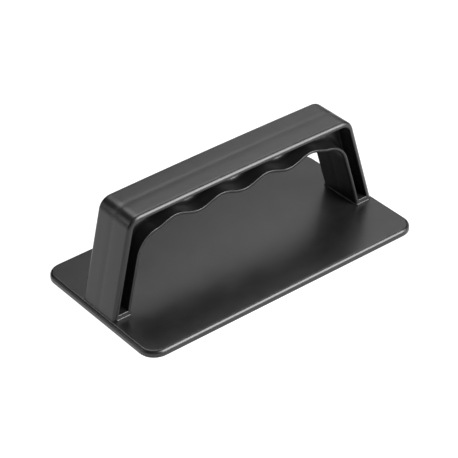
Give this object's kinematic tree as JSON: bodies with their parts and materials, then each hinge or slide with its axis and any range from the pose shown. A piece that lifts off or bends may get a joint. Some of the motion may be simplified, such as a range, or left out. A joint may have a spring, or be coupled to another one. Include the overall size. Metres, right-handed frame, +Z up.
{
  "type": "napkin hold-down plate",
  "caption": "Flat rounded rectangular hold-down plate with a bridge handle whose underside has finger grooves, fixed by screws from below.",
  "frame": {"origin": "middle of the plate's underside, on the surface that the part stands on", "axes": "+X along the plate's length and the handle, +Y across the plate, +Z up from the plate to the handle"},
  "size_m": [0.15, 0.0812, 0.0514],
  "materials": {
    "plate_plastic": "satin black moulded plastic",
    "handle_plastic": "satin black moulded plastic",
    "screw_steel": "zinc plated steel"
  },
  "bodies": {
    "root": {"base_plate": "plate_plastic", "handle": "handle_plastic", "handle_screws": "screw_steel"}
  },
  "joints": []
}
